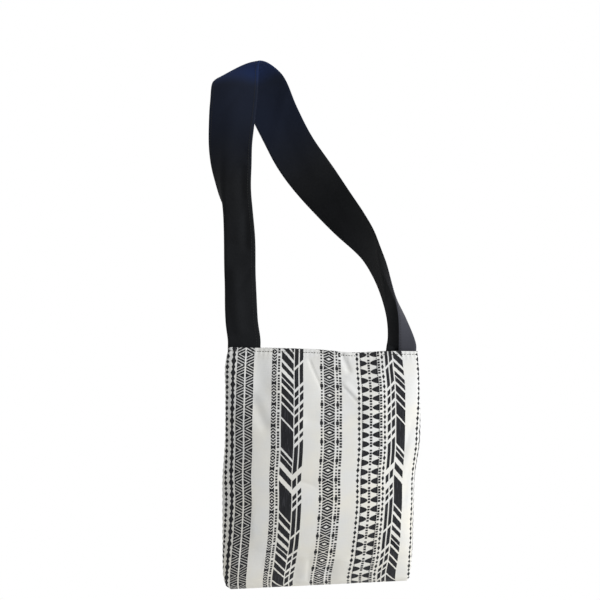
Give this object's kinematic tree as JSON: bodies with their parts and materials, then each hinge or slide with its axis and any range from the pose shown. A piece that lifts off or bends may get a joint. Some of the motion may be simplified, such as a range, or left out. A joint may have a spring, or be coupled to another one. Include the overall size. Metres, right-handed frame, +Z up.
{
  "type": "crossbody bag",
  "caption": "Soft cotton crossbody sling bag, a flat rectangular pouch with woven geometric stripes on one wide black strap, held in the shape it has when worn.",
  "frame": {"origin": "underside of the strap where it lies on top of the shoulder", "axes": "+Z up, +X from the shoulder side towards the hip side as seen from the front, +Y towards the wearer's back"},
  "size_m": [0.3519, 0.2742, 0.8836],
  "materials": {
    "patterned_cotton": "matte woven cotton, off-white with black stripes",
    "black_cotton": "matte plain cotton"
  },
  "bodies": {
    "root": {"front_panel": "patterned_cotton", "back_panel": "patterned_cotton", "strap": "black_cotton"}
  },
  "joints": []
}
